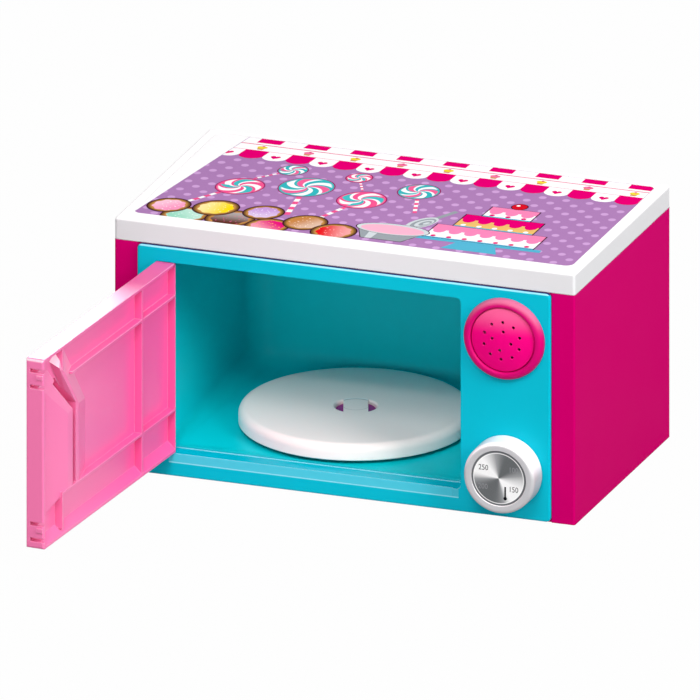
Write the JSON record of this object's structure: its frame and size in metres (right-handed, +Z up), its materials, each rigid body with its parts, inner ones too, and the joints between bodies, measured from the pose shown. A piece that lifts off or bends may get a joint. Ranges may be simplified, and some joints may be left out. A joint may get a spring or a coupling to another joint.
{
  "type": "toy oven",
  "caption": "Toy microwave-style oven: box case with overhanging lid, side-hinged moulded door, lined cavity with turning plate, round perforated sound button and twist knob.",
  "frame": {"origin": "middle of the case's footprint, on the underside of the base plate", "axes": "+Z up; the front panel, door and controls face -Y; the door hangs on the case's -X side, seen from the front on the left"},
  "size_m": [0.3, 0.3649, 0.1636],
  "materials": {
    "case_magenta": "smooth moulded, semi-gloss",
    "top_white": "smooth moulded, semi-gloss",
    "label_print": "printed film, satin",
    "panel_turquoise": "smooth moulded, gloss",
    "liner_teal": "smooth moulded, gloss",
    "door_pink": "smooth moulded, semi-gloss",
    "plate_white": "smooth moulded, semi-gloss",
    "hub_purple": "smooth moulded, semi-gloss",
    "button_pink": "smooth moulded, semi-gloss",
    "knob_white": "smooth moulded, semi-gloss",
    "dial_silver": "brushed disc, printed scale",
    "inner_white": "plain moulded",
    "screw_steel": "zinc plated",
    "cone_grey": "matt film",
    "magnet_grey": "plain metal",
    "board_green": "lacquered board",
    "switch_black": "plain moulded",
    "cell_jacket": "plain jacket"
  },
  "bodies": {
    "case": {"case_shell": "case_magenta", "base_plate": "case_magenta", "top_panel": "top_white", "top_label": "label_print", "front_panel": "panel_turquoise", "oven_liner": "liner_teal", "turntable_hub": "hub_purple", "turntable_screw": "screw_steel", "sound_bezel": "button_pink", "button_spring": "screw_steel", "sound_housing": "inner_white", "speaker_frame": "screw_steel", "speaker_cone": "cone_grey", "speaker_magnet": "magnet_grey", "sound_board": "board_green", "board_switch": "switch_black", "click_spring": "screw_steel", "battery_box": "inner_white", "batteries": "cell_jacket", "contact_springs": "screw_steel", "contact_plates": "screw_steel", "battery_door": "case_magenta", "battery_door_screw": "screw_steel", "base_screws": "screw_steel", "lid_screws": "screw_steel", "panel_screws": "screw_steel", "liner_screws": "screw_steel", "housing_screws": "screw_steel", "battery_box_screws": "screw_steel"},
    "door": {"door": "door_pink"},
    "turntable": {"turntable_plate": "plate_white"},
    "knob": {"knob": "knob_white", "knob_dial": "dial_silver", "click_wheel": "inner_white", "knob_screw": "screw_steel", "knob_washer": "screw_steel"},
    "button": {"sound_button": "button_pink"}
  },
  "joints": [
    {"name": "door_hinge", "type": "hinge", "parent": "case", "child": "door", "pos_m": [-0.119, -0.08485, 0.07725], "axis": [0, 0, 1], "range_deg": [-5.4, 94.6]},
    {"name": "turntable_spin", "type": "hinge", "parent": "case", "child": "turntable", "pos_m": [-0.02315, -0.00165, 0.018], "axis": [0, 0, 1], "continuous": true},
    {"name": "knob_turn", "type": "hinge", "parent": "case", "child": "knob", "pos_m": [0.1065, -0.08725, 0.031], "axis": [0, 1, 0], "continuous": true, "deforming": ["click_spring"]},
    {"name": "button_press", "type": "slide", "parent": "case", "child": "button", "axis": [0, 1, 0], "range_m": [0, 0.0025], "stiffness_N_per_m": 400, "springref_m": -0.003, "deforming": ["button_spring"]}
  ]
}
